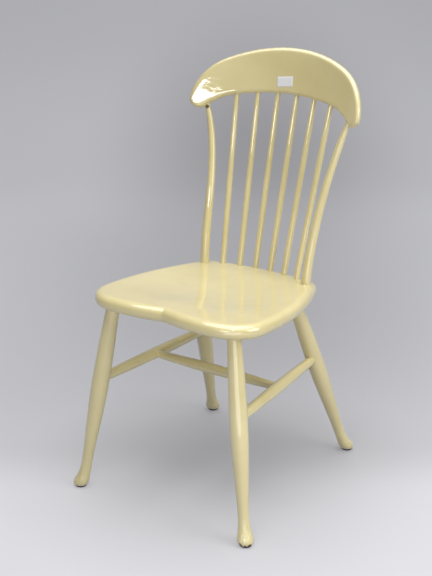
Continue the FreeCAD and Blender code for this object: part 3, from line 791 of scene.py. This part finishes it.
def cream_paint():
    """Old cream gloss paint, brushed on thickly over wood and chipped in a few places."""
    material, tree, shader = new_material("cream_paint")
    colour = ramp(tree, noise_at(tree, 9, 3), CREAM, 0.35, 0.65)
    wood = ramp(tree, noise_at(tree, 600, 4), BARE_WOOD, 0.3, 0.7)
    bare = chipped(tree)
    tree.links.new(blended(tree, bare, colour, wood), shader.inputs["Base Color"])
    dull = ramp(tree, noise_at(tree, 24, 4), levels(0.28, 0.42), 0.35, 0.7)
    tree.links.new(dull, shader.inputs["Roughness"])
    coat = blended(tree, bare, level(1), level(0.05))
    tree.links.new(coat, shader.inputs["Coat Weight"])
    relief = brush_marks(tree)
    tree.links.new(relief, shader.inputs["Normal"])
    tree.links.new(relief, shader.inputs["Coat Normal"])
    shader.inputs["Coat Roughness"].default_value = 0.022
    shader.inputs["Coat IOR"].default_value = 1.68
    shader.inputs["Specular IOR Level"].default_value = 0.3
    return material


def dark_glide():
    """The scuffed dark soles under the feet."""
    material, tree, shader = new_material("dark_glide")
    scuffs = noise_at(tree, 420, 4)
    colour = ramp(tree, scuffs, DARK_SOLE, 0.35, 0.75)
    tree.links.new(colour, shader.inputs["Base Color"])
    dull = ramp(tree, scuffs, levels(0.45, 0.75), 0.3, 0.7)
    tree.links.new(dull, shader.inputs["Roughness"])
    tree.links.new(bumped(tree, scuffs, 0.0002, 0.5), shader.inputs["Normal"])
    return material


def blank_label():
    """White paper with nothing on it."""
    material, tree, shader = new_material("blank_label")
    fibres = noise_at(tree, 900, 5)
    colour = ramp(tree, fibres, LABEL_PAPER, 0.3, 0.7)
    tree.links.new(colour, shader.inputs["Base Color"])
    shader.inputs["Roughness"].default_value = 0.55
    tree.links.new(bumped(tree, fibres, 0.00005, 0.4), shader.inputs["Normal"])
    return material


def toned(tree, value, stops, tint):
    """A tinted grey that follows a value smoothly through stops, each (value, tone)."""
    first, last = stops[0][0], stops[-1][0]
    share = tree.nodes.new("ShaderNodeMapRange")
    tree.links.new(value, share.inputs["Value"])
    share.inputs["From Min"].default_value = first
    share.inputs["From Max"].default_value = last
    node = tree.nodes.new("ShaderNodeValToRGB")
    node.color_ramp.interpolation = "EASE"
    elements = node.color_ramp.elements
    for place, _ in stops[1:-1]:
        elements.new((place - first) / (last - first))
    for element, (_, tone) in zip(elements, stops):
        element.color = (*(tone * part for part in tint), 1)
    tree.links.new(share.outputs["Result"], node.inputs["Fac"])
    return node.outputs["Color"]


def shadow_patch(tree, place, middle, reach, depth):
    """A soft painted shadow: an oval that grows from nothing at its edge to the given depth in its
    middle.
    """
    spread = tree.nodes.new("ShaderNodeMapping")
    spread.inputs["Location"].default_value = (-middle[0] / reach[0], -middle[1] / reach[1], 0)
    spread.inputs["Scale"].default_value = (1 / reach[0], 1 / reach[1], 1)
    tree.links.new(place, spread.inputs["Vector"])
    fall = tree.nodes.new("ShaderNodeTexGradient")
    fall.gradient_type = "SPHERICAL"
    tree.links.new(spread.outputs["Vector"], fall.inputs["Vector"])
    soft = tree.nodes.new("ShaderNodeMapRange")
    soft.interpolation_type = "SMOOTHSTEP"
    soft.inputs["To Max"].default_value = depth
    tree.links.new(fall.outputs["Fac"], soft.inputs["Value"])
    return soft.outputs["Result"]


def seen_share(tree):
    """One where the paper is seen, straight or in a mirror, and zero where it only gives light."""
    rays = tree.nodes.new("ShaderNodeLightPath")
    seen = combined(tree, "MAXIMUM", rays.outputs["Is Camera Ray"], rays.outputs["Is Glossy Ray"])
    return combined(tree, "MAXIMUM", seen, rays.outputs["Is Transmission Ray"])


def backdrop_paper():
    """Pale grey paper with soft painted shadows of the chair. It glows a little where it is seen,
    which keeps the shadows soft, and throws little light back, which keeps the chair's undersides
    dark."""
    material, tree, shader = new_material("backdrop_paper")
    place = tree.nodes.new("ShaderNodeTexCoord")
    parts = tree.nodes.new("ShaderNodeSeparateXYZ")
    tree.links.new(place.outputs["Object"], parts.inputs["Vector"])
    way = combined(tree, "ADD", parts.outputs["Y"], parts.outputs["Z"])
    spot = tree.nodes.new("ShaderNodeCombineXYZ")
    tree.links.new(parts.outputs["X"], spot.inputs["X"])
    tree.links.new(way, spot.inputs["Y"])
    tone = toned(tree, way, PAPER_STOPS, PAPER_TINT)
    # Painted shadows: darker ovals laid on the paper's tone where the chair's shade falls
    for middle, reach, depth in PAPER_PAINTED_SHADOWS:
        painted_shade = shadow_patch(tree, spot.outputs["Vector"], middle, reach, depth)
        tone = blended(tree, painted_shade, tone, level(0))
    seen = seen_share(tree)
    hidden = combined(tree, "MULTIPLY", combined(tree, "SUBTRACT", 1, seen), 1 - PAPER_BOUNCE)
    tree.links.new(blended(tree, hidden, tone, level(0)), shader.inputs["Base Color"])
    shader.inputs["Roughness"].default_value = 0.9
    glow = tree.nodes.new("ShaderNodeEmission")
    tree.links.new(tone, glow.inputs["Color"])
    blend = tree.nodes.new("ShaderNodeMixShader")
    tree.links.new(combined(tree, "MULTIPLY", seen, PAPER_EVENNESS), blend.inputs["Fac"])
    tree.links.new(shader.outputs["BSDF"], blend.inputs[1])
    tree.links.new(glow.outputs["Emission"], blend.inputs[2])
    output = tree.nodes["Material Output"]
    tree.links.new(blend.outputs["Shader"], output.inputs["Surface"])
    return material


# The blank sticker on the front of the crest rail

LABEL_WIDTH = 38
LABEL_HEIGHT = 22
LABEL_PLACE = Vector((-4.9, 26.4))
LABEL_TURN = 6.5
LABEL_LIFT = 0.2
LABEL_THICKNESS = 0.2


def make_label():
    """A thin paper label that follows the bow of the rail, stuck on a little askew."""
    columns, rows = 16, 10
    points = []
    faces = []
    front = -CREST_THICKNESS / 2 - LABEL_LIFT
    turn = Matrix.Rotation(math.radians(LABEL_TURN), 2)
    for row in range(rows + 1):
        for column in range(columns + 1):
            across = LABEL_WIDTH * (column / columns - 0.5)
            up = LABEL_HEIGHT * (row / rows - 0.5)
            spot = LABEL_PLACE + turn @ Vector((across, up))
            lift = unevenness(spot.to_3d(), *CREST_WAVES)
            points.append(on_crest(spot.x, spot.y, front + lift))
    for row in range(rows):
        for column in range(columns):
            low = row * (columns + 1) + column
            high = low + columns + 1
            faces.append((low, low + 1, high + 1, high))
    label = new_piece("blank_label", points, faces)
    thicken = label.modifiers.new("paper", "SOLIDIFY")
    thicken.thickness = LABEL_THICKNESS * MM
    thicken.offset = -1
    return label


# Building


def dress(pieces, material):
    """Gives the pieces one material."""
    for piece in pieces:
        piece.data.materials.clear()
        piece.data.materials.append(material)


painted = [make_seat(), make_crest_rail(), *make_stretchers()]
painted += [make_leg(end, side) for end in ("front", "rear") for side in SIDES]
painted += [make_post(side) for side in SIDES]
painted += [make_spindle(index) for index in range(SPINDLES)]
dress(painted, cream_paint())

glide_material = dark_glide()
for end in ("front", "rear"):
    for side in SIDES:
        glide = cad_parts[f"glide_{end}_{side}"]
        glide.material_slots[0].material = glide_material

label = make_label()
label.data.materials.append(blank_label())


# Camera, at the photograph's place

CAMERA_PLACE = (1269.6, -1917.6, 1259.5)
CAMERA_TILT = 69.973
CAMERA_ROLL = 0.051
CAMERA_HEADING = 34.079
FOCAL_PIXELS = 1157.2
IMAGE_HEIGHT = 576
SENSOR_HEIGHT = 24


def make_camera():
    """A camera that sees the chair as the photograph does."""
    data = bpy.data.cameras.new("camera")
    data.sensor_fit = "VERTICAL"
    data.sensor_height = SENSOR_HEIGHT
    data.lens = FOCAL_PIXELS / IMAGE_HEIGHT * SENSOR_HEIGHT
    camera = bpy.data.objects.new("camera", data)
    camera.location = Vector(CAMERA_PLACE) * MM
    turns = (CAMERA_TILT, CAMERA_ROLL, CAMERA_HEADING)
    camera.rotation_euler = [math.radians(turn) for turn in turns]
    bpy.context.scene.collection.objects.link(camera)
    bpy.context.scene.camera = camera


# Studio, in metres and watts

FLOOR_LINES = (-9.0, -4.0, -1.0, 0.5)
WALL_DISTANCE = 4.0
WALL_HEIGHT = 6.0
WALL_WIDTH = 16.0
WALL_CURVE = 1.6
WALL_STEPS = 12

# Name, place, point aimed at, width and height, and power
LAMPS = (
    ("overhead", (0, 0.15, 4.2), (0, 0.1, 0.4), (4.6, 4.0), 190),
    ("right_box", (2.08, 0.18, 1.47), (0, 0, 0.5), (1.3, 1.3), 25),
    ("low_front_box", (0.95, -1.35, 0.38), (0.1, -0.1, 0.3), (1.3, 0.68), 6.5),
    ("back_box", (0.24, 1.36, 2.47), (0, 0, 0.5), (1.6, 1.2), 5),
    ("high_front", (1.1, -1.4, 2.4), (0, 0.1, 0.5), (0.12, 1.1), 3.6),
    ("front_box", (0.505, -2.109, 1.36), (-0.15, 0.2, 0.85), (1.05, 0.22), 9),
)
SKY_COLOUR = (0.92, 0.95, 1.0)
SKY_LIGHT = 0.03


def make_backdrop():
    """A pale floor that curves up into a wall behind the chair."""
    bend = WALL_DISTANCE - WALL_CURVE
    profile = [(back, 0.0) for back in (*FLOOR_LINES, bend)]
    for index in range(1, WALL_STEPS + 1):
        angle = math.pi / 2 * index / WALL_STEPS
        back = bend + WALL_CURVE * math.sin(angle)
        profile.append((back, WALL_CURVE * (1 - math.cos(angle))))
    profile.append((WALL_DISTANCE, WALL_HEIGHT))
    points = []
    for back, up in profile:
        for spread in (-WALL_WIDTH / 2, WALL_WIDTH / 2):
            points.append(Vector((spread, back, up)))
    faces = [(2 * i, 2 * i + 1, 2 * i + 3, 2 * i + 2) for i in range(len(profile) - 1)]
    mesh = bpy.data.meshes.new("backdrop")
    mesh.from_pydata(points, [], faces)
    mesh.shade_smooth()
    backdrop = bpy.data.objects.new("backdrop", mesh)
    backdrop.rotation_euler.z = math.radians(CAMERA_HEADING)
    bpy.context.scene.collection.objects.link(backdrop)
    mesh.materials.append(backdrop_paper())


def make_lamp(name, place, target, size, power):
    """A flat lamp that faces its target."""
    data = bpy.data.lights.new(name, "AREA")
    data.shape = "RECTANGLE"
    data.size, data.size_y = size
    data.energy = power
    lamp = bpy.data.objects.new(name, data)
    lamp.location = place
    lamp.rotation_euler = (Vector(target) - Vector(place)).to_track_quat("-Z", "Y").to_euler()
    bpy.context.scene.collection.objects.link(lamp)


def make_studio():
    """The backdrop, the lamps and a weak even light, at a plain level."""
    make_backdrop()
    for lamp in LAMPS:
        make_lamp(*lamp)
    world = bpy.data.worlds.new("world")
    world.use_nodes = True
    background = world.node_tree.nodes["Background"]
    background.inputs["Color"].default_value = (*SKY_COLOUR, 1)
    background.inputs["Strength"].default_value = SKY_LIGHT
    bpy.context.scene.world = world
    bpy.context.scene.view_settings.view_transform = "Standard"


make_camera()
make_studio()
